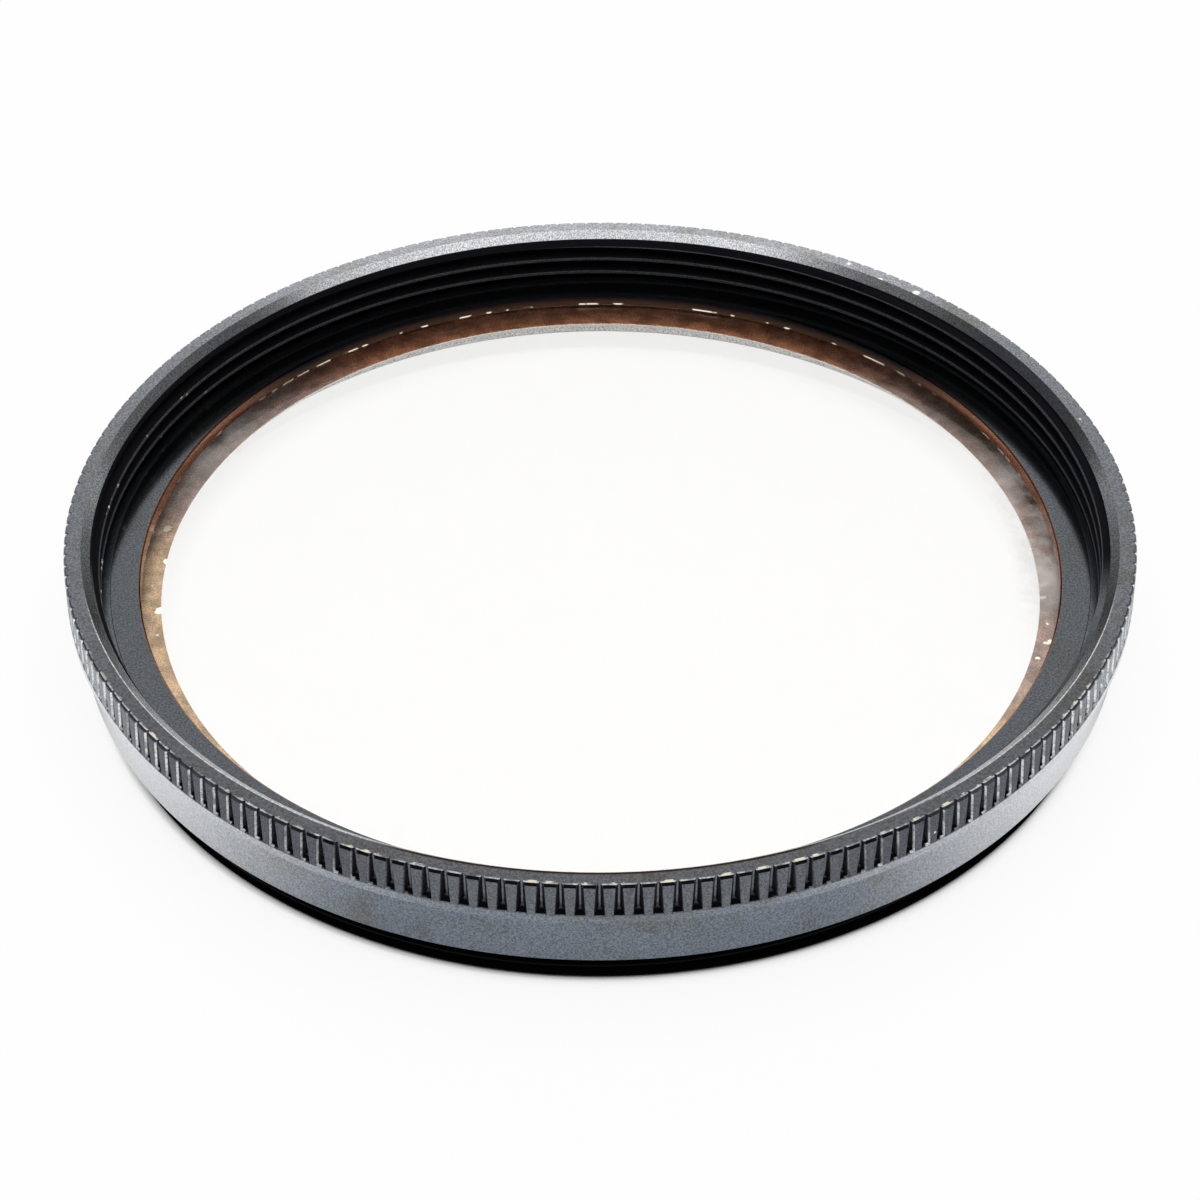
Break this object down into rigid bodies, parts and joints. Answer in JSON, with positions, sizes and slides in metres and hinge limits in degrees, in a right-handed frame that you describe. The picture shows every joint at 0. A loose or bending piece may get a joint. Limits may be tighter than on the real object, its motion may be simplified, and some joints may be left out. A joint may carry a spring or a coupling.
{
  "type": "screw-in lens filter",
  "caption": "Round screw-in lens filter: a clear glass disc held in a thin knurled metal ring, with a female thread at the front and a male thread at the rear.",
  "frame": {"origin": "on the ring's axis, at the end face of the rear thread", "axes": "+Z along the ring's axis from the rear thread to the front, -Y towards the picture's camera"},
  "size_m": [0.045, 0.045, 0.0058],
  "materials": {
    "ring_finish": "satin charcoal finish on brass, worn bright along the edges",
    "clear_glass": "polished, clear",
    "retainer_finish": "satin charcoal"
  },
  "bodies": {
    "root": {"filter_ring": "ring_finish", "glass": "clear_glass", "retaining_ring": "retainer_finish"}
  },
  "joints": []
}
